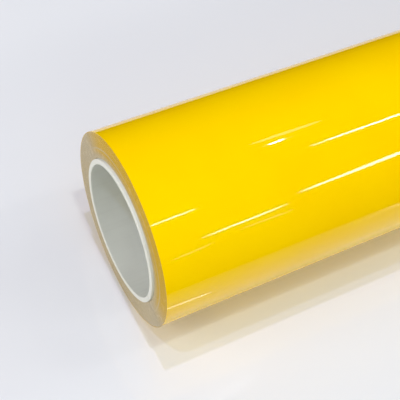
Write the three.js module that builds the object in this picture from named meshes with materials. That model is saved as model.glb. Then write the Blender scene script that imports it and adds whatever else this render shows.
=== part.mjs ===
// A roll of sign vinyl: a coloured film, its adhesive and its clear release liner, wound on a plastic core.
// Sizes are in millimetres. The roll lies on the plane Z = 0, with its core along X and its back at +Y.
import * as THREE from 'three';

// Core tube
const CORE_BORE_DIAMETER = 76.2;
const CORE_WALL = 3.0;
const CORE_PROUD = 1.6;
const CORE_RIM_ROUNDING = 0.6;
const RIM_ARC_STEPS = 3;

// Wound web
const ROLL_DIAMETER = 112.4;
const WEB_WIDTH = 610;
const FILM_THICKNESS = 0.080;
const ADHESIVE_THICKNESS = 0.025;
const LINER_THICKNESS = 0.075;

// Tape that holds the first turn to the core
const START_TAPE_WIDTH = 25;
const START_TAPE_THICKNESS = 0.12;
const START_TAPE_ANGLE = 60;

// Loose end: its edge lies this many degrees above the roll's back, and the web is wound over the top to it
const LOOSE_END_ANGLE = -15;
const TAIL_LENGTH = 56;
const PEEL_LENGTH = 30;

// Tape tabs that hold the loose end down
const TAB_WIDTH = 25;
const TAB_ON_FILM = 12;
const TAB_ON_ROLL = 13;
const TAB_THICKNESS = 0.05;
const TAB_INSET = 70;

// Fits
const LAYER_GAP = 0.008;
const CUT_GAP = 0.05;

// Round surfaces are flats; FACETS is a multiple of four, so that one flat lies square on the plane below
const FACETS = 72;
const SMALLEST_FACET = 0.02;

const FULL_TURN = 360;
const STRAIGHT_DOWN = 270;
const RIGHT_ANGLE = 90;

const facetAngle = FULL_TURN / FACETS;
const rollRadius = ROLL_DIAMETER / 2;
const coreRadius = CORE_BORE_DIAMETER / 2 + CORE_WALL;
const coreLength = WEB_WIDTH + 2 * CORE_PROUD;

// Depths below the film's outer face, and the distance from one turn to the next
const adhesiveTop = FILM_THICKNESS + LAYER_GAP;
const linerTop = adhesiveTop + ADHESIVE_THICKNESS + LAYER_GAP;
const linerBottom = linerTop + LINER_THICKNESS;
const webPitch = linerBottom + LAYER_GAP;

// Wind angles run back along the web, in degrees from its loose end
const degreesFor = (arcLength, radius) => THREE.MathUtils.radToDeg(arcLength / radius);
const cutAngle = degreesFor(CUT_GAP, rollRadius);
const tailAngle = degreesFor(TAIL_LENGTH, rollRadius);
const peelAngle = degreesFor(PEEL_LENGTH, rollRadius);

const filmRadius = (windAngle) => rollRadius - webPitch * windAngle / FULL_TURN;

// The roll rests on the flat below its axis, whose outer corner is the one nearer the loose end
const lowestCorner = STRAIGHT_DOWN - LOOSE_END_ANGLE - facetAngle / 2;
const axisHeight = filmRadius(lowestCorner) * Math.cos(THREE.MathUtils.degToRad(facetAngle / 2));

const paint = (color, roughness) => new THREE.MeshStandardMaterial({ color, roughness, metalness: 0 });
const corePlastic = () => paint(0xcfd1cc, 0.55);
const tapeFilm = () => paint(0xe9e2cf, 0.5);
const yellowFilm = () => paint(0xfad901, 0.08);
const woundWeb = () => paint(0xc9a94a, 0.35);
const clearAdhesive = () => paint(0xd8c890, 0.3);
const clearLiner = () => paint(0xe6e2d6, 0.12);
const tabTape = () => paint(0xdfe6ea, 0.4);

// Facet corners stand half a facet either side of straight down
function cornersBetween(from, to) {
  const corners = [];
  const first = Math.ceil((from + SMALLEST_FACET) / facetAngle - 0.5);
  for (let index = first; (index + 0.5) * facetAngle < to - SMALLEST_FACET; index += 1) {
    corners.push((index + 0.5) * facetAngle);
  }
  return corners;
}

// A point at a polar angle, on the flat between the two facet corners beside it
function flatPoint(polar, radiusAt) {
  const before = (Math.floor(polar / facetAngle - 0.5) + 0.5) * facetAngle;
  const after = before + facetAngle;
  const sine = (angle) => Math.sin(THREE.MathUtils.degToRad(angle));
  const spread = radiusAt(before) * sine(polar - before) + radiusAt(after) * sine(after - polar);
  const radius = radiusAt(before) * radiusAt(after) * sine(facetAngle) / spread;
  const turn = THREE.MathUtils.degToRad(polar);
  return new THREE.Vector2(radius * Math.cos(turn), radius * Math.sin(turn));
}

// A faceted arc from one polar angle to another
function arcPoints(from, to, radiusAt) {
  const angles = [from, ...cornersBetween(from, to), to];
  return angles.map((polar) => flatPoint(polar, radiusAt));
}

// The closed outline of a curved strip between two radii
function stripShape(from, to, innerAt, outerAt) {
  const outer = arcPoints(from, to, outerAt);
  const inner = arcPoints(from, to, innerAt);
  return new THREE.Shape([...outer, ...inner.reverse()]);
}

// The outline of one layer of the web, between two wind angles and two depths below the film's face
function layerShape(fromWind, toWind, top, bottom) {
  const radiusAt = (depth) => (polar) => filmRadius(polar - LOOSE_END_ANGLE) - depth;
  const from = LOOSE_END_ANGLE + fromWind;
  const to = LOOSE_END_ANGLE + toWind;
  return stripShape(from, to, radiusAt(bottom), radiusAt(top));
}

// A solid of one outline, of a given length along the roll and centred at a place along it
function alongRoll(name, shape, length, centre, material) {
  const geometry = new THREE.ExtrudeGeometry(shape, { depth: length, bevelEnabled: false });
  geometry.translate(0, 0, centre - length / 2);
  const mesh = new THREE.Mesh(geometry, material);
  mesh.name = name;
  return mesh;
}

// Half of the tube's wall outline, from the outer edge to the bore, at one end of the tube
function rimProfile(end) {
  const bore = CORE_BORE_DIAMETER / 2;
  const rounding = Math.min(CORE_RIM_ROUNDING, CORE_WALL / 3);
  const points = [];
  const rimCorners = [[coreRadius - rounding, 1], [bore + rounding, -1]];
  rimCorners.forEach(([centre, side]) => {
    for (let step = 0; step <= RIM_ARC_STEPS; step += 1) {
      const share = side > 0 ? step : RIM_ARC_STEPS - step;
      const turn = THREE.MathUtils.degToRad(RIGHT_ANGLE * share / RIM_ARC_STEPS);
      const radius = centre + side * rounding * Math.cos(turn);
      const along = coreLength / 2 - rounding + rounding * Math.sin(turn);
      points.push(new THREE.Vector2(radius, end * along));
    }
  });
  return points;
}

function coreTube() {
  const outline = [...rimProfile(1), ...rimProfile(-1).reverse()];
  outline.push(outline[0].clone());
  const start = THREE.MathUtils.degToRad(facetAngle / 2);
  const geometry = new THREE.LatheGeometry(outline, FACETS, start, 2 * Math.PI);
  geometry.rotateX(Math.PI / 2);
  const mesh = new THREE.Mesh(geometry, corePlastic());
  mesh.name = 'core_tube';
  return mesh;
}

const startTapeRadius = coreRadius + LAYER_GAP;
const startTapeEnd = START_TAPE_ANGLE + degreesFor(START_TAPE_WIDTH, coreRadius);

function coreStartTape() {
  const inner = () => startTapeRadius;
  const outer = () => startTapeRadius + START_TAPE_THICKNESS;
  const shape = stripShape(START_TAPE_ANGLE, startTapeEnd, inner, outer);
  return alongRoll('core_start_tape', shape, WEB_WIDTH, 0, tapeFilm());
}

// The inner turns as one solid: a step in its outside where the outer turn joins it,
// and a recess in its inside over the start tape
function woundTurns() {
  const firstTurn = LOOSE_END_ANGLE + FULL_TURN;
  const outerAt = (polar) => filmRadius(polar - LOOSE_END_ANGLE);
  const outline = new THREE.Shape(arcPoints(firstTurn, firstTurn + FULL_TURN, outerAt));
  const clearance = degreesFor(CUT_GAP, coreRadius);
  const recessFrom = START_TAPE_ANGLE - clearance;
  const recessTo = startTapeEnd + clearance;
  const recess = () => startTapeRadius + START_TAPE_THICKNESS + LAYER_GAP;
  const plain = () => startTapeRadius;
  const inside = [
    ...arcPoints(recessFrom, recessTo, recess),
    ...arcPoints(recessTo, recessFrom + FULL_TURN, plain),
  ];
  outline.holes.push(new THREE.Path(inside));
  return alongRoll('wound_turns', outline, WEB_WIDTH, 0, woundWeb());
}

function outerTurn() {
  const from = tailAngle + cutAngle;
  const to = FULL_TURN - cutAngle;
  const film = layerShape(from, to, 0, FILM_THICKNESS);
  const adhesive = layerShape(from, to, adhesiveTop, adhesiveTop + ADHESIVE_THICKNESS);
  const liner = layerShape(from, to, linerTop, linerBottom);
  return [
    alongRoll('outer_turn_film', film, WEB_WIDTH, 0, yellowFilm()),
    alongRoll('outer_turn_adhesive', adhesive, WEB_WIDTH, 0, clearAdhesive()),
    alongRoll('outer_turn_liner', liner, WEB_WIDTH, 0, clearLiner()),
  ];
}

// The loose end of the web, which lifts off the roll: the liner reaches its edge, the film stops at the peel line
function tail() {
  const from = peelAngle + cutAngle;
  const film = layerShape(from, tailAngle, 0, FILM_THICKNESS);
  const adhesive = layerShape(from, tailAngle, adhesiveTop, adhesiveTop + ADHESIVE_THICKNESS);
  const liner = layerShape(0, tailAngle, linerTop, linerBottom);
  return [
    alongRoll('tail_film', film, WEB_WIDTH, 0, yellowFilm()),
    alongRoll('tail_adhesive', adhesive, WEB_WIDTH, 0, clearAdhesive()),
    alongRoll('tail_liner', liner, WEB_WIDTH, 0, clearLiner()),
  ];
}

// The edge of the film, which peels off the tail's liner with its adhesive
function peelEdge() {
  const film = layerShape(0, peelAngle, 0, FILM_THICKNESS);
  const adhesive = layerShape(0, peelAngle, adhesiveTop, adhesiveTop + ADHESIVE_THICKNESS);
  return [
    alongRoll('peel_edge_film', film, WEB_WIDTH, 0, yellowFilm()),
    alongRoll('peel_edge_adhesive', adhesive, WEB_WIDTH, 0, clearAdhesive()),
  ];
}

// Tabs across the loose edge, stuck to the film above it and to the turn below it
function endTabs() {
  const from = LOOSE_END_ANGLE - degreesFor(TAB_ON_ROLL, rollRadius);
  const to = LOOSE_END_ANGLE + degreesFor(TAB_ON_FILM, rollRadius);
  const inner = () => rollRadius + LAYER_GAP;
  const outer = () => rollRadius + LAYER_GAP + TAB_THICKNESS;
  const reach = WEB_WIDTH / 2 - TAB_INSET;
  const places = { left: -reach, middle: 0, right: reach };
  return Object.entries(places).map(([place, centre]) => {
    const shape = stripShape(from, to, inner, outer);
    return alongRoll(`end_tab_${place}`, shape, TAB_WIDTH, centre, tabTape());
  });
}

// Outlines are drawn looking along the roll: their first axis is Y, their second is Z, and they are drawn out along X
const lying = new THREE.Group();
const toBack = new THREE.Vector3(0, 1, 0);
const upwards = new THREE.Vector3(0, 0, 1);
const along = new THREE.Vector3(1, 0, 0);
lying.quaternion.setFromRotationMatrix(new THREE.Matrix4().makeBasis(toBack, upwards, along));
lying.position.set(0, 0, axisHeight);
lying.add(coreTube(), coreStartTape(), woundTurns(), ...outerTurn(), ...tail(), ...peelEdge(), ...endTabs());

const roll = new THREE.Group();
roll.add(lying);

export default roll;
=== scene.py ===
"""The looks of a roll of sign vinyl: glossy yellow film with a clear liner, on a white plastic core."""
import math

import bpy
from mathutils import Euler, Matrix, Vector, noise


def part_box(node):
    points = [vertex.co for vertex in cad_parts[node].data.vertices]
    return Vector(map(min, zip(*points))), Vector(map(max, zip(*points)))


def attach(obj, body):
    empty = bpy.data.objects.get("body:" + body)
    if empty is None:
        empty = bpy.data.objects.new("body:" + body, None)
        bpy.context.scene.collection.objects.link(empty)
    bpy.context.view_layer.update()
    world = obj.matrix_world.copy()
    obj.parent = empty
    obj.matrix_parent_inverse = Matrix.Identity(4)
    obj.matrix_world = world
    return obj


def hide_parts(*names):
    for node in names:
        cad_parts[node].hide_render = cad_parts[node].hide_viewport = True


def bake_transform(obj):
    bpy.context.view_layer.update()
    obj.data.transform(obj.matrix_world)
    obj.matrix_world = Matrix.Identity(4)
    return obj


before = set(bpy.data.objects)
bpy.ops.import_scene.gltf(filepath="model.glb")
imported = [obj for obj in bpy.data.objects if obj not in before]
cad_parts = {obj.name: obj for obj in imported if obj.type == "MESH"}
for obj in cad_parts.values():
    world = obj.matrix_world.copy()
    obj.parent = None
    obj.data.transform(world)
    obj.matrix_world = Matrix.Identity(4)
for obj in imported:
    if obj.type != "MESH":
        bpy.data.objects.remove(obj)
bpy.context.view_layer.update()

# ---------------------------------------------------------------- sizes, in metres and degrees
MM = 0.001
FULL_TURN = 360.0

# One turn of the web, from its outer face inwards
FILM = 0.080 * MM
ADHESIVE = 0.025 * MM
LINER = 0.075 * MM
LAYER_GAP = 0.008 * MM
PITCH = FILM + ADHESIVE + LINER + 3 * LAYER_GAP
FILM_LAYER = (0.0, FILM)
ADHESIVE_LAYER = (FILM + LAYER_GAP, FILM + LAYER_GAP + ADHESIVE)
LINER_LAYER = (PITCH - LAYER_GAP - LINER, PITCH - LAYER_GAP)

# Places round the roll: 0 is the back, 90 the top; wind angles run back along the web from its loose end
LOOSE_END = -15.0
STRAIGHT_DOWN = 270.0
TAIL_LENGTH = 56 * MM
PEEL_LENGTH = 30 * MM

core_low, core_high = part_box("core_tube")
web_low, web_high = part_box("wound_turns")
tape_low, tape_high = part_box("core_start_tape")
AXIS_HEIGHT = (core_low.z + core_high.z) / 2

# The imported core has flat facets, and its box stops at the middle of one
CAD_FACETS = 72
HALF_FACET = math.radians(FULL_TURN / CAD_FACETS / 2)
CORE_OUTER = (core_high.z - core_low.z) / 2 / math.cos(HALF_FACET)
CORE_WALL = 3.0 * MM
CORE_BORE = CORE_OUTER - CORE_WALL
RIM_ROUNDING = 0.6 * MM
ROUNDING_STEPS = 5
START_TAPE = 0.12 * MM
START_TAPE_FROM = 60.0
START_TAPE_WIDTH = 25 * MM

# The film touches the table straight below the axis
ROLL_RADIUS = AXIS_HEIGHT + PITCH * (STRAIGHT_DOWN - LOOSE_END) / FULL_TURN
TAIL_WIND = math.degrees(TAIL_LENGTH / ROLL_RADIUS)
PEEL_WIND = math.degrees(PEEL_LENGTH / ROLL_RADIUS)

# Where the separate sheets of the outer turn meet, past the hinges, where nothing bends
TAIL_JOIN = TAIL_WIND + 7.0
PEEL_JOIN = PEEL_WIND + 9.0
INNER_JOIN = FULL_TURN + TAIL_WIND + 20.0

RIPPLE_HEIGHT = 0.03 * MM
TAB_THICKNESS = 0.05 * MM
TAB_ON_FILM = 12 * MM
TAB_ON_ROLL = 13 * MM
TOOTH_DEPTH = 0.7 * MM
TOOTH_WIDTH = 2.0 * MM
STEP_LENGTH = 1.2 * MM

# How finely the meshes are cut: degrees round the roll, lengths along it, facets of a ring
ROUND_STEP = 1.5
LENGTH_STEP = 6 * MM
TAPE_STEP = 40 * MM
TAB_STEP = 0.4 * MM
RING_FACETS = 240


def film_radius(wind):
    return ROLL_RADIUS - PITCH * wind / FULL_TURN


def around(polar, radius, x):
    """The point at a polar angle and a distance from the roll's axis."""
    turn = math.radians(polar)
    return Vector((x, radius * math.cos(turn), AXIS_HEIGHT + radius * math.sin(turn)))


def air_waves(polar, x, along, across, shift=0.0):
    """Smooth waves, from -1 to 1, as quick along the roll and across it as the two numbers say."""
    turn = math.radians(polar)
    return noise.noise(Vector((x * along + shift, math.cos(turn) * across, math.sin(turn) * across)))


def ripple(polar, x):
    """How far the outer turn stands off the turns below, where air is trapped under it."""
    long_waves = air_waves(polar, x, along=9.0, across=1.3)
    short_waves = air_waves(polar, x, along=26.0, across=3.1, shift=7.0)
    return RIPPLE_HEIGHT * (0.5 + 0.38 * long_waves + 0.12 * short_waves)


# ---------------------------------------------------------------- node maths
class NodeTree:
    """A node tree, with the one method that makes its nodes."""

    def __init__(self, tree):
        self.tree = tree

    def node(self, kind, settings=None, inputs=None):
        """A new node: first its settings, then the values or wires of its inputs, by name or place."""
        made = self.tree.nodes.new(kind)
        for key, value in (settings or {}).items():
            setattr(made, key, value)
        for key, value in (inputs or {}).items():
            self.plug(made.inputs[key], value)
        return made

    def wire(self, node, output=0):
        return Wire(self, node.outputs[output])

    def plug(self, place, value):
        if isinstance(value, Wire):
            self.tree.links.new(value.socket, place)
        else:
            place.default_value = value


class Wire:
    """A value, colour, vector or shape on its way between nodes, with the usual arithmetic."""

    def __init__(self, nodes, socket):
        self.nodes = nodes
        self.socket = socket

    def maths(self, operation, *values):
        inputs = dict(enumerate((self, *values)))
        return self.nodes.wire(self.nodes.node("ShaderNodeMath", {"operation": operation}, inputs))

    def __add__(self, other):
        return self.maths("ADD", other)

    __radd__ = __add__

    def __sub__(self, other):
        return self.maths("SUBTRACT", other)

    def __rsub__(self, other):
        return (self * -1.0) + other

    def __mul__(self, other):
        return self.maths("MULTIPLY", other)

    __rmul__ = __mul__

    def __truediv__(self, other):
        return self.maths("DIVIDE", other)

    def between(self, low, high):
        """0 below low, 1 above high and a smooth rise between them."""
        inputs = {"Value": self, "From Min": low, "From Max": high}
        made = self.nodes.node("ShaderNodeMapRange", {"interpolation_type": "SMOOTHSTEP"}, inputs)
        return self.nodes.wire(made, "Result")

    def ridge(self, centre, width):
        """1 at centre, falling smoothly to 0 at a width to either side."""
        return 1.0 - (self - centre).maths("ABSOLUTE").between(0.0, width)


class Finish(NodeTree):
    """A material with one Principled shader, built up from wires."""

    def __init__(self, name, constants):
        self.material = bpy.data.materials.new(name)
        self.material.use_nodes = True
        super().__init__(self.material.node_tree)
        self.shader = self.tree.nodes["Principled BSDF"]
        for key, value in constants.items():
            self.feed(key, value)
        self.place = self.wire(self.node("ShaderNodeTexCoord"), "Object")

    def feed(self, name, value):
        self.plug(self.shader.inputs[name], value)

    def from_axis(self):
        """How far behind the roll's axis a point is, and how far above it."""
        split = self.node("ShaderNodeSeparateXYZ", inputs={"Vector": self.place})
        return self.wire(split, "Y"), self.wire(split, "Z") - AXIS_HEIGHT

    def cloud(self, scale, detail=2.0, place=None):
        inputs = {"Vector": place or self.place, "Scale": scale, "Detail": detail}
        return self.wire(self.node("ShaderNodeTexNoise", inputs=inputs), "Fac")

    def rings(self, radius, scale, detail):
        """A cloud that changes only with the distance from the axis."""
        place = self.wire(self.node("ShaderNodeCombineXYZ", inputs={"X": radius * scale}))
        return self.cloud(1.0, detail, place)

    def streaks(self, along, across, detail):
        """A cloud drawn out along the roll."""
        inputs = {"Vector": self.place, "Scale": (along, across, across)}
        return self.cloud(1.0, detail, self.wire(self.node("ShaderNodeMapping", inputs=inputs)))

    def mix(self, factor, first, second):
        made = self.node("ShaderNodeMix", {"data_type": "RGBA"}, {"Factor": factor, "A": first, "B": second})
        colours = [socket for socket in made.outputs if socket.type == "RGBA"]
        return Wire(self, colours[0])

    def bump(self, height, strength, distance):
        inputs = {"Strength": strength, "Distance": distance, "Height": height}
        self.feed("Normal", self.wire(self.node("ShaderNodeBump", inputs=inputs), "Normal"))


def colour(red, green, blue):
    return (red, green, blue, 1.0)


# ---------------------------------------------------------------- finishes
YELLOW = colour(0.97, 0.62, 0.0)
DEEP_YELLOW = colour(0.95, 0.57, 0.0)
CORE_WHITE = colour(0.70, 0.72, 0.66)
CORE_MOTTLE = colour(0.66, 0.68, 0.62)
CORE_DRAWN_LINES = colour(0.55, 0.55, 0.50)
TAPE_TISSUE = colour(0.78, 0.72, 0.58)
TAPE_FIBRE = colour(0.62, 0.56, 0.42)
TAB_FROST = colour(0.82, 0.84, 0.82)
TAB_GUM = colour(0.9, 0.88, 0.78)
CLEAR_LINER = colour(0.82, 0.83, 0.82)
CLEAR_ADHESIVE = colour(0.85, 0.70, 0.30)

# The cut edges of each layer: in painted shade away from the lamps, in painted light towards them, and on
# the palest rings
FILM_EDGES = (colour(0.47, 0.385, 0.20), colour(0.60, 0.37, 0.003), colour(0.56, 0.46, 0.26))
ADHESIVE_EDGES = (colour(0.48, 0.40, 0.25), colour(0.57, 0.37, 0.01), colour(0.56, 0.47, 0.28))
LINER_EDGES = (colour(0.49, 0.43, 0.31), colour(0.55, 0.36, 0.012), colour(0.58, 0.50, 0.32))

# The way from the axis to the lamps, as its Y and Z, and the radius of a paler ring painted on as a
# highlight
LAMP_SIDE = (-0.42, 0.91)
HIGHLIGHT_RING_RADIUS = CORE_OUTER + 0.41 * (ROLL_RADIUS - CORE_OUTER)
HIGHLIGHT_RING_WIDTH = 0.8 * MM
RING_DRIFT = 1.2 * MM

FINE_RELIEF = 0.02 * MM
COARSE_RELIEF = 0.05 * MM


def vinyl_film():
    """Glossy film, with a faint orange peel and the long lines of the calender rolls."""
    finish = Finish("yellow_vinyl_film", {"IOR": 1.46})
    depth_of_colour = finish.cloud(14.0, 3.0).between(0.3, 0.7)
    finish.feed("Base Color", finish.mix(depth_of_colour, YELLOW, DEEP_YELLOW))
    finish.feed("Roughness", 0.018 + 0.018 * finish.cloud(60.0, 4.0))
    orange_peel = finish.cloud(900.0)
    calender_lines = finish.streaks(6.0, 160.0, 3.0)
    finish.bump(orange_peel * 0.2 + calender_lines, 0.12, FINE_RELIEF)
    return finish.material


def cut_edge(name, colours, roughness):
    """The cut edges of one layer, the side towards the lamps warmed with painted light and a ring paled as a
    painted highlight.
    """
    finish = Finish(name, {"IOR": 1.5, "Specular IOR Level": 0.15})
    painted_shade_colour, painted_light_colour, palest = colours
    y, z = finish.from_axis()
    radius = (y * y + z * z).maths("SQRT")
    share = (radius - CORE_OUTER) / (ROLL_RADIUS - CORE_OUTER)

    # Painted light: the side towards the lamps is painted warmer, more so out towards the outer turns.
    to_lamps = (y * LAMP_SIDE[0] + z * LAMP_SIDE[1]) / radius
    painted_light_mask = to_lamps.between(-0.05, 0.5)
    painted_glow = painted_light_mask * (0.3 + 0.7 * share.between(0.10, 0.32))
    tint = finish.mix(painted_glow, painted_shade_colour, painted_light_colour)

    fine_rings = finish.rings(radius, 900.0, 4.0)
    drifting = radius + RING_DRIFT * finish.cloud(12.0)
    broad_rings = finish.rings(drifting, 330.0, 2.0)
    unevenness = fine_rings.between(0.3, 0.7) * 0.14 + 0.16 * broad_rings.between(0.5, 0.7)
    ringed = finish.mix(unevenness * (1.0 - 0.9 * painted_glow), tint, palest)

    swing = finish.cloud(16.0, 1.0).between(0.2, 0.6)
    # Painted highlight: a paler ring at one radius, stronger on the side towards the lamps.
    highlight_ring_mask = (drifting - RING_DRIFT / 2).ridge(HIGHLIGHT_RING_RADIUS, HIGHLIGHT_RING_WIDTH)
    painted_highlight_ring = highlight_ring_mask * (0.30 + 0.70 * painted_light_mask) * swing
    by_core = (1.0 - share.between(0.02, 0.16)) * 0.5
    finish.feed("Base Color", finish.mix((painted_highlight_ring + by_core).maths("MINIMUM", 1.0), ringed, palest))
    finish.feed("Roughness", roughness + 0.12 * finish.cloud(220.0, 3.0))
    finish.bump(fine_rings, 0.12, FINE_RELIEF)
    return finish.material


def clear_sheet(name, tint, alpha, roughness, grain):
    """A clear layer seen from its face, with faint handling haze."""
    finish = Finish(name, {"IOR": 1.5})
    haze = finish.cloud(40.0, 4.0)
    hazed = colour(*(0.85 * channel for channel in tint[:3]))
    finish.feed("Base Color", finish.mix(haze, tint, hazed))
    finish.feed("Alpha", alpha + 0.08 * haze)
    finish.feed("Roughness", roughness + 0.06 * finish.cloud(25.0, 3.0))
    finish.bump(finish.cloud(grain), 0.15, FINE_RELIEF)
    return finish.material


def core_plastic():
    """Plain drawn tube, mottled, with drawing lines along it."""
    finish = Finish("white_core_plastic", {"IOR": 1.48})
    mottle = finish.cloud(55.0, 4.0)
    drawn = finish.streaks(8.0, 420.0, 4.0)
    tint = finish.mix(mottle.between(0.3, 0.75), CORE_WHITE, CORE_MOTTLE)
    finish.feed("Base Color", finish.mix(drawn.between(0.45, 0.8) * 0.25, tint, CORE_DRAWN_LINES))
    finish.feed("Roughness", 0.30 + 0.15 * mottle)
    finish.bump(drawn + finish.cloud(500.0, 3.0) * 0.3, 0.3, COARSE_RELIEF)
    return finish.material


def start_tape():
    """Double-sided tissue tape, with its fibres."""
    finish = Finish("double_sided_tape", {"IOR": 1.45})
    fibres = finish.cloud(900.0, 5.0)
    finish.feed("Base Color", finish.mix(fibres, TAPE_TISSUE, TAPE_FIBRE))
    finish.feed("Roughness", 0.5 + 0.2 * fibres)
    finish.bump(fibres, 0.3, COARSE_RELIEF)
    return finish.material


def tab_tape():
    """Frosted office tape, blotchy where its gum has taken."""
    finish = Finish("frosted_tab_tape", {"IOR": 1.48})
    frost = finish.cloud(1200.0, 3.0)
    blotches = finish.cloud(150.0, 3.0)
    finish.feed("Base Color", finish.mix(blotches.between(0.35, 0.7), TAB_FROST, TAB_GUM))
    finish.feed("Alpha", 0.42 + 0.2 * blotches)
    finish.feed("Roughness", 0.32 + 0.15 * frost)
    finish.bump(frost, 0.3, FINE_RELIEF)
    return finish.material


FINISHES = {
    "film": vinyl_film(),
    "film_edge": cut_edge("film_cut_edges", FILM_EDGES, roughness=0.25),
    "adhesive_edge": cut_edge("adhesive_cut_edges", ADHESIVE_EDGES, roughness=0.35),
    "liner_edge": cut_edge("liner_cut_edges", LINER_EDGES, roughness=0.2),
    "liner": clear_sheet("clear_liner", CLEAR_LINER, alpha=0.05, roughness=0.04, grain=300.0),
    "adhesive": clear_sheet("clear_adhesive", CLEAR_ADHESIVE, alpha=0.12, roughness=0.18, grain=1800.0),
    "core": core_plastic(),
    "start_tape": start_tape(),
    "tab": tab_tape(),
}


# ---------------------------------------------------------------- mesh making
def place_in_scene(name, data):
    made = bpy.data.objects.new(name, data)
    bpy.context.scene.collection.objects.link(made)
    return made


def piece(name, points, faces, finish, smooth_below=35.0):
    """A mesh object in its place, smooth except at edges sharper than an angle."""
    mesh = bpy.data.meshes.new(name)
    mesh.from_pydata(points, [], faces)
    mesh.validate()
    for face in mesh.polygons:
        face.use_smooth = True
    mesh.set_sharp_from_angle(angle=math.radians(smooth_below))
    mesh.materials.append(FINISHES[finish])
    return place_in_scene(name, mesh)


def steps_between(first, last, size):
    count = max(2, math.ceil(abs(last - first) / size))
    return [first + (last - first) * index / count for index in range(count + 1)]


def slab(name, rows, columns, top_at, bottom_at, finish):
    """A closed sheet: a grid of points on its top and on its underside, joined round the four sides."""
    wide = len(columns)
    points = [top_at(row, column) for row in rows for column in columns]
    under = len(points)
    points += [bottom_at(row, column) for row in rows for column in columns]
    faces = []
    for row in range(len(rows) - 1):
        for column in range(wide - 1):
            corner = row * wide + column
            square = (corner, corner + 1, corner + wide + 1, corner + wide)
            faces.append(square)
            faces.append(tuple(under + point for point in reversed(square)))
    last = (len(rows) - 1) * wide
    for column in range(wide - 1):
        far = last + column
        faces.append((column + 1, column, under + column, under + column + 1))
        faces.append((far, far + 1, under + far + 1, under + far))
    for row in range(len(rows) - 1):
        left = row * wide
        right = left + wide - 1
        faces.append((left, left + wide, under + left + wide, under + left))
        faces.append((right + wide, right, under + right, under + right + wide))
    return piece(name, points, faces, finish)


def web_sheet(name, first_wind, last_wind, layer, finish):
    """A stretch of one layer of the web, full width, between two wind angles."""
    rows = steps_between(last_wind, first_wind, ROUND_STEP)
    columns = steps_between(web_low.x, web_high.x, LENGTH_STEP)

    def face(depth):
        def place(wind, x):
            polar = LOOSE_END + wind
            return around(polar, film_radius(wind) - depth + ripple(polar, x), x)
        return place

    return slab(name, rows, columns, face(layer[0]), face(layer[1]), finish)


def revolved(name, profile, finish):
    """A ring about the roll's axis, from a closed outline of (radius, x) points."""
    size = len(profile)
    turns = [FULL_TURN * turn / RING_FACETS for turn in range(RING_FACETS)]
    points = [around(polar, radius, x) for polar in turns for radius, x in profile]
    faces = []
    for turn in range(RING_FACETS):
        this = turn * size
        following = (turn + 1) % RING_FACETS * size
        for place in range(size):
            beside = (place + 1) % size
            faces.append((this + place, following + place, following + beside, this + beside))
    return piece(name, points, faces, finish, smooth_below=50.0)


# ---------------------------------------------------------------- core
def core_tube():
    """The plastic core: a drawn tube with its cut ends eased."""
    outer = CORE_OUTER - RIM_ROUNDING
    inner = CORE_BORE + RIM_ROUNDING
    right = core_high.x - RIM_ROUNDING
    left = core_low.x + RIM_ROUNDING
    profile = []
    for radius, x, start in ((outer, right, 0), (inner, right, 90), (inner, left, 180), (outer, left, 270)):
        for step in range(ROUNDING_STEPS + 1):
            turn = math.radians(start + 90 * step / ROUNDING_STEPS)
            profile.append((radius + RIM_ROUNDING * math.cos(turn), x + RIM_ROUNDING * math.sin(turn)))
    tube = revolved("core_tube_drawn", profile, "core")
    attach(tube, "roll")
    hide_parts("core_tube")


def core_start_tape():
    """The strip of tape along the core that the first turn is stuck to."""
    inner = CORE_OUTER + LAYER_GAP
    sweep = math.degrees(START_TAPE_WIDTH / CORE_OUTER)
    rows = steps_between(START_TAPE_FROM + sweep, START_TAPE_FROM, ROUND_STEP)
    columns = steps_between(tape_low.x, tape_high.x, TAPE_STEP)
    strip = slab(
        "start_tape_strip", rows, columns,
        lambda polar, x: around(polar, inner + START_TAPE, x),
        lambda polar, x: around(polar, inner, x),
        "start_tape",
    )
    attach(strip, "roll")
    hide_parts("core_start_tape")


# ---------------------------------------------------------------- inner turns, wound by rule
FIRST_TURN_RADIUS = CORE_OUTER + START_TAPE + 2 * LAYER_GAP
INNER_TURNS = (film_radius(INNER_JOIN) - PITCH - FIRST_TURN_RADIUS) / PITCH
STEPS_PER_TURN = 120

# How far a turn may stand to either side of the rest, and how quickly that changes from turn to turn
WANDER = 0.07 * MM
WANDER_PER_TURN = 0.35

WINDING_INPUTS = {
    "Start Radius": "NodeSocketFloat",
    "End Radius": "NodeSocketFloat",
    "Turns": "NodeSocketFloat",
    "Steps": "NodeSocketInt",
    "Start Angle": "NodeSocketFloat",
    "Thickness": "NodeSocketFloat",
    "Width": "NodeSocketFloat",
    "Wander": "NodeSocketFloat",
    "Axis Height": "NodeSocketFloat",
    "Finish": "NodeSocketMaterial",
}


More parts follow.
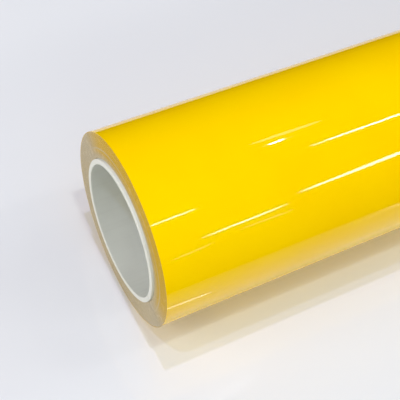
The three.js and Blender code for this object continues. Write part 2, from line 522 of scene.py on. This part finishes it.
def winding_tree():
    """One layer of the web, wound inwards as a flat spiral, each turn a little to one side of the last."""
    tree = bpy.data.node_groups.new("wound_layer", "GeometryNodeTree")
    for name, kind in WINDING_INPUTS.items():
        tree.interface.new_socket(name, in_out="INPUT", socket_type=kind)
    tree.interface.new_socket("Geometry", in_out="OUTPUT", socket_type="NodeSocketGeometry")
    nodes = NodeTree(tree)
    group_input = nodes.node("NodeGroupInput")
    given = {name: nodes.wire(group_input, name) for name in WINDING_INPUTS}

    def shape(kind, inputs):
        return nodes.wire(nodes.node(kind, inputs=inputs))

    def upwards(height):
        return nodes.wire(nodes.node("ShaderNodeCombineXYZ", inputs={"Z": height}))

    spiral = shape("GeometryNodeCurveSpiral", {
        "Resolution": given["Steps"], "Rotations": given["Turns"], "Height": 0.0,
        "Start Radius": given["Start Radius"], "End Radius": given["End Radius"],
    })
    marked = nodes.node("GeometryNodeCaptureAttribute")
    marked.capture_items.new("FLOAT", "Along")
    nodes.plug(marked.inputs["Geometry"], spiral)
    nodes.plug(marked.inputs["Along"], nodes.wire(nodes.node("GeometryNodeSplineParameter"), "Factor"))
    section = shape("GeometryNodeCurvePrimitiveQuadrilateral", {
        "Width": given["Thickness"], "Height": given["Width"],
    })
    swept = shape("GeometryNodeCurveToMesh", {
        "Curve": nodes.wire(marked, "Geometry"), "Profile Curve": section, "Fill Caps": True,
    })

    turns_in = nodes.wire(marked, "Along") * given["Turns"]
    drift = nodes.node("ShaderNodeTexNoise", {"noise_dimensions": "1D"}, {
        "W": turns_in, "Scale": WANDER_PER_TURN, "Detail": 4.0, "Roughness": 0.7,
    })
    sideways = (nodes.wire(drift, "Fac") - 0.5) * given["Wander"]
    moved = shape("GeometryNodeSetPosition", {"Geometry": swept, "Offset": upwards(sideways)})

    # The spiral is made round the Z axis, turned to its first angle, and then laid along X
    started = shape("GeometryNodeTransform", {"Geometry": moved, "Rotation": upwards(given["Start Angle"])})
    lying = shape("GeometryNodeTransform", {
        "Geometry": started, "Rotation": (math.pi / 2, 0.0, math.pi / 2),
        "Translation": upwards(given["Axis Height"]),
    })
    real = shape("GeometryNodeRealizeInstances", {"Geometry": lying})
    painted = shape("GeometryNodeSetMaterial", {"Geometry": real, "Material": given["Finish"]})
    nodes.node("NodeGroupOutput", inputs={"Geometry": painted})
    return tree


def wound(tree, name, layer, finish):
    """The inner turns of one layer as a plain mesh."""
    host = place_in_scene(name, bpy.data.meshes.new(name))
    modifier = host.modifiers.new("winding", "NODES")
    modifier.node_group = tree
    outermost = film_radius(INNER_JOIN) - (layer[0] + layer[1]) / 2
    settings = {
        "Start Radius": outermost,
        "End Radius": outermost - PITCH * INNER_TURNS,
        "Turns": INNER_TURNS,
        "Steps": STEPS_PER_TURN,
        "Start Angle": math.radians(LOOSE_END + INNER_JOIN),
        "Thickness": layer[1] - layer[0],
        "Width": web_high.x - web_low.x,
        "Wander": 2 * WANDER,
        "Axis Height": AXIS_HEIGHT,
        "Finish": FINISHES[finish],
    }
    for socket in tree.interface.items_tree:
        if socket.name in settings:
            modifier[socket.identifier] = settings[socket.name]
    bpy.context.view_layer.update()
    evaluated = host.evaluated_get(bpy.context.evaluated_depsgraph_get())
    mesh = bpy.data.meshes.new_from_object(evaluated)
    host.modifiers.remove(modifier)
    host.data = mesh
    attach(host, "roll")
    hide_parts("wound_turns")


def inner_turns():
    tree = winding_tree()
    wound(tree, "inner_turns_film", FILM_LAYER, "film_edge")
    wound(tree, "inner_turns_adhesive", ADHESIVE_LAYER, "adhesive_edge")
    wound(tree, "inner_turns_liner", LINER_LAYER, "liner_edge")


# ---------------------------------------------------------------- outer turn, loose end and peeled edge
LAYERS = {
    "film": (FILM_LAYER, "film", "vinyl_film"),
    "adhesive": (ADHESIVE_LAYER, "adhesive", "adhesive"),
    "liner": (LINER_LAYER, "liner", "release_liner"),
}


def outer_turn():
    for layer, (depths, finish, slot) in LAYERS.items():
        sheet = web_sheet(f"outer_turn_{layer}_sheet", TAIL_JOIN, INNER_JOIN, depths, finish)
        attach(sheet, "roll")
        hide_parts(f"outer_turn_{layer}")


def tail():
    """The loose end: the liner runs to its edge, and the film and adhesive to where they peel."""
    for layer, (depths, finish, slot) in LAYERS.items():
        stop = 0.0 if layer == "liner" else PEEL_JOIN
        sheet = web_sheet(f"tail_{layer}_sheet", stop, TAIL_JOIN, depths, finish)
        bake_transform(sheet)
        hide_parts(f"tail_{layer}")


def peel_edge():
    """The film and adhesive that peel off the liner."""
    for layer in ("film", "adhesive"):
        depths, finish, slot = LAYERS[layer]
        sheet = web_sheet(f"peel_edge_{layer}_sheet", 0.0, PEEL_JOIN, depths, finish)
        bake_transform(sheet)
        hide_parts(f"peel_edge_{layer}")


# ---------------------------------------------------------------- tape tabs
def smooth(value):
    value = min(1.0, max(0.0, value))
    return value * value * (3 - 2 * value)


def tape_tab(place):
    """A tab torn off a dispenser: toothed ends, stuck down over the step at the film's edge."""
    node = f"end_tab_{place}"
    low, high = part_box(node)
    columns = steps_between(low.x, high.x, TOOTH_WIDTH / 4)
    rows = steps_between(-TAB_ON_ROLL, TAB_ON_FILM, TAB_STEP)[::-1]
    length = TAB_ON_FILM + TAB_ON_ROLL

    def tooth(x):
        share = (x - low.x) / TOOTH_WIDTH % 1.0
        return TOOTH_DEPTH * abs(2 * share - 1)

    def face(lift):
        def at(along, x):
            share = (along + TAB_ON_ROLL) / length
            along = -TAB_ON_ROLL + tooth(x) + share * (length - 2 * tooth(x))
            wind = math.degrees(along / ROLL_RADIUS)
            on_film = smooth(along / STEP_LENGTH + 1.0)
            surface = film_radius(FULL_TURN + wind) + on_film * PITCH
            polar = LOOSE_END + wind
            return around(polar, surface + ripple(polar, x) + LAYER_GAP + lift, x)
        return at

    tab = slab(f"{node}_tape", rows, columns, face(TAB_THICKNESS), face(0.0), "tab")
    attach(tab, "peel_edge")
    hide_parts(node)


# ---------------------------------------------------------------- table and flags
LEFT_END = Vector((web_low.x, 0.0, 0.0))
TABLE_HALF = 1.9
TABLE_PALE = colour(0.79, 0.79, 0.795)
TABLE_DULL = colour(0.77, 0.77, 0.77)

# Black boards just above the table keep its bright reflections off the film. The one nearest to the roll's
# front thins out towards it: it would be full at one distance from the axis, and it is clear at the other
FLAG_HALF = 3.0
FLAG_HEIGHT = 2 * MM
FLAG_BLACK = colour(0.003, 0.003, 0.003)
FRONT_EDGE = -0.170
BACK_EDGE = 0.24
FULL_DISTANCE = 0.23
CLEAR_DISTANCE = 0.065


def board(name, low_y, high_y, half_width, height, material):
    """A flat rectangle of the stage, level with the table."""
    corners = [
        (-half_width, low_y, height),
        (half_width, low_y, height),
        (half_width, high_y, height),
        (-half_width, high_y, height),
    ]
    mesh = bpy.data.meshes.new(name)
    mesh.from_pydata(corners, [], [(0, 1, 2, 3)])
    mesh.materials.append(material)
    made = place_in_scene(name, mesh)
    return made


def pale_table():
    finish = Finish("pale_table", {"IOR": 1.58})
    finish.feed("Base Color", finish.mix(finish.cloud(3.0, 3.0), TABLE_PALE, TABLE_DULL))
    finish.feed("Roughness", 0.03 + 0.02 * finish.cloud(20.0))
    board("table", -TABLE_HALF, TABLE_HALF, TABLE_HALF, 0.0, finish.material)


def black_flag(name, low_y, high_y, thinning=False):
    """A matt black board that only reflections see."""
    constants = {"Roughness": 1.0, "Base Color": FLAG_BLACK, "Specular IOR Level": 0.0}
    finish = Finish("matt_black_" + name, constants)
    if thinning:
        y = finish.from_axis()[0]
        finish.feed("Alpha", y.maths("ABSOLUTE").between(CLEAR_DISTANCE, FULL_DISTANCE))
    flag = board(name, low_y, high_y, FLAG_HALF, FLAG_HEIGHT, finish.material)
    flag.visible_camera = False
    flag.visible_diffuse = False
    flag.visible_shadow = False
    flag.visible_transmission = False


def flags():
    black_flag("flag_front", -FLAG_HALF, FRONT_EDGE)
    black_flag("flag_thinning", FRONT_EDGE, -CLEAR_DISTANCE, thinning=True)
    black_flag("flag_back", BACK_EDGE, FLAG_HALF)


# ---------------------------------------------------------------- camera
CAMERA_FROM_END = Vector((-0.1271, -0.2521, 0.4927))
CAMERA_TURN = 34.78
CAMERA_DOWN = 54.81
CAMERA_ROLL = 9.33
CAMERA_LENS = 86.0
SENSOR_WIDTH = 36.0


def camera():
    data = bpy.data.cameras.new("camera")
    data.lens = CAMERA_LENS
    data.sensor_width = SENSOR_WIDTH
    data.clip_start = 10 * MM
    made = place_in_scene("camera", data)
    aim = Euler((math.radians(90 - CAMERA_DOWN), 0.0, math.radians(-CAMERA_TURN))).to_matrix()
    roll = Matrix.Rotation(math.radians(CAMERA_ROLL), 3, "Z")
    made.matrix_world = Matrix.Translation(LEFT_END + CAMERA_FROM_END) @ (aim @ roll).to_4x4()
    bpy.context.scene.camera = made


# ---------------------------------------------------------------- lights
WHITE = (1.0, 1.0, 1.0)

# Small lamps that cast the shadows: name, place from the roll's left end, side, glare and tint
KEY_LAMPS = (
    ("key_overhead", (0.0, 0.185, 2.3), 0.035, 2840.0, (0.56, 0.60, 1.0)),
    ("key_left", (-0.69, 0.0, 2.3), 0.06, 736.0, (0.47, 0.60, 1.0)),
    ("key_front", (0.02, -0.46, 2.3), 0.10, 268.0, (0.92, 1.0, 0.95)),
)

# Soft light from the walls of a pale room: name, place, glare and tint
WALL_SIZE = (3.0, 1.5)
WALLS = (
    ("wall_left", (web_low.x - 2.0, 0.0, 0.8), 3.25, (1.0, 0.915, 0.82)),
    ("wall_right", (2.2, 0.0, 0.8), 1.9, (0.80, 0.94, 1.0)),
    ("wall_front", (0.0, -2.0, 0.8), 1.0, (0.91, 1.0, 0.83)),
    ("wall_back", (0.0, 2.0, 0.8), 0.5, (1.0, 0.85, 0.6)),
)

# Thin lights that show as streaks along the film: name, both ends, width and glare
TUBES = (
    ("tube_1", (0.335, -1.44, 2.0), (0.515, -1.41, 2.0), 0.032, 30.0),
    ("tube_2", (0.500, -2.22, 0.95), (0.760, -2.09, 0.95), 0.05, 20.0),
    ("tube_3", (0.60, -1.58, 1.0), (1.35, -1.30, 1.0), 0.11, 18.0),
    ("tube_4", (0.80, -0.52, 2.0), (1.40, -0.56, 2.0), 0.065, 26.0),
    ("faint_tube_1", (0.37, -2.3, 0.458), (0.51, -2.3, 0.535), 0.020, 5.0),
    ("faint_tube_2", (0.63, -2.3, 0.692), (0.82, -2.3, 0.660), 0.022, 5.0),
    ("lamp", (0.617, 0.095, 2.0), (0.670, 0.091, 2.0), 0.05, 70.0),
)

# A soft glow round the lamp's highlight, on the outer film alone
LAMP_GLOW = ("lamp_glow", (0.59, 0.345, 2.0), (0.79, 0.285, 2.0), 0.09, 3.2)
GLOWING_SHEETS = ("outer_turn_film_sheet", "tail_film_sheet")

# The tubes seen once more by way of the polished table, low on the film's front, and the point aimed at
GLINTS = (
    ("glint_near", (-0.292, -0.0982, 0.003), (-0.257, -0.0925, 0.003), 0.004, 3.0, (-0.28, -0.056, 0.06)),
    ("glint_far", (-0.156, -0.1670, 0.003), (-0.02, -0.1320, 0.003), 0.006, 2.0, (-0.16, -0.054, 0.07)),
)

# The light that the film's underside sends down to the table in the roll's own shadow
BOUNCE_PLACE = Vector((0.020, -0.041, 0.011))
BOUNCE_SIZE = (web_high.x - web_low.x - 0.040, 0.012)
BOUNCE_GLARE = 0.23
BOUNCE_TINT = (1.0, 0.70, 0.05)

ROOM_LIGHT = 0.25
BACKDROP = 0.78
ROOM_TINT = colour(0.97, 0.975, 0.92)


def area_light(name, place, aim, size, area, glare, tint, along):
    """A light facing a point, with its first side along a direction. Glare is how bright its face is."""
    data = bpy.data.lights.new(name, "AREA")
    data.shape = "RECTANGLE"
    data.size, data.size_y = size
    data.energy = glare * math.pi * area
    data.color = tint
    made = place_in_scene(name, data)
    back = (Vector(place) - Vector(aim)).normalized()
    side = Vector(along)
    side = (side - back * side.dot(back)).normalized()
    up = back.cross(side)
    made.matrix_world = Matrix.Translation(place) @ Matrix((side, up, back)).transposed().to_4x4()
    made.visible_camera = False
    return made


def panel(name, place, aim, size, glare, tint):
    """A soft flat light that no reflection shows."""
    made = area_light(name, place, aim, size, size[0] * size[1], glare, tint, along=(1.0, 0.0, 0.0))
    made.visible_glossy = False


def tube(name, first, last, width, glare, aim=LEFT_END):
    """A thin light between two points, tapering at its ends, that shows as a streak on glossy things."""
    first = Vector(first)
    last = Vector(last)
    size = ((last - first).length, width)
    area = size[0] * size[1] * math.pi / 4
    made = area_light(name, (first + last) / 2, aim, size, area, glare, WHITE, along=last - first)
    made.data.shape = "ELLIPSE"
    return made


def light_only(lamp, receivers):
    """Keeps a lamp's light, and its highlight, to some of the things in the scene."""
    chosen = bpy.data.collections.new(lamp.name + "_receivers")
    for receiver in receivers:
        chosen.objects.link(bpy.data.objects[receiver])
    lamp.light_linking.receiver_collection = chosen


def lights():
    for name, place, side, glare, tint in KEY_LAMPS:
        panel(name, LEFT_END + Vector(place), LEFT_END, (side, side), glare, tint)
    for name, place, glare, tint in WALLS:
        panel(name, place, LEFT_END, WALL_SIZE, glare, tint)
    for streak in TUBES:
        tube(*streak)
    light_only(tube(*LAMP_GLOW), GLOWING_SHEETS)
    for glint in GLINTS:
        tube(*glint)
    below = BOUNCE_PLACE - Vector((0, 0, 1))
    panel("yellow_bounce", BOUNCE_PLACE, below, BOUNCE_SIZE, BOUNCE_GLARE, BOUNCE_TINT)


def surroundings():
    """A pale room: soft light on everything, and a plain backdrop beyond the table."""
    world = bpy.data.worlds.new("pale_room")
    bpy.context.scene.world = world
    world.use_nodes = True
    nodes = NodeTree(world.node_tree)
    background = nodes.tree.nodes["Background"]
    seen = nodes.wire(nodes.node("ShaderNodeLightPath"), "Is Camera Ray")
    nodes.plug(background.inputs["Color"], ROOM_TINT)
    nodes.plug(background.inputs["Strength"], seen * (BACKDROP - ROOM_LIGHT) + ROOM_LIGHT)
    world.cycles_visibility.glossy = False
    bpy.context.scene.view_settings.view_transform = "Standard"


# ---------------------------------------------------------------- the whole scene
core_tube()
core_start_tape()
inner_turns()
outer_turn()
tail()
peel_edge()
for tab_place in ("left", "middle", "right"):
    tape_tab(tab_place)
pale_table()
flags()
camera()
lights()
surroundings()
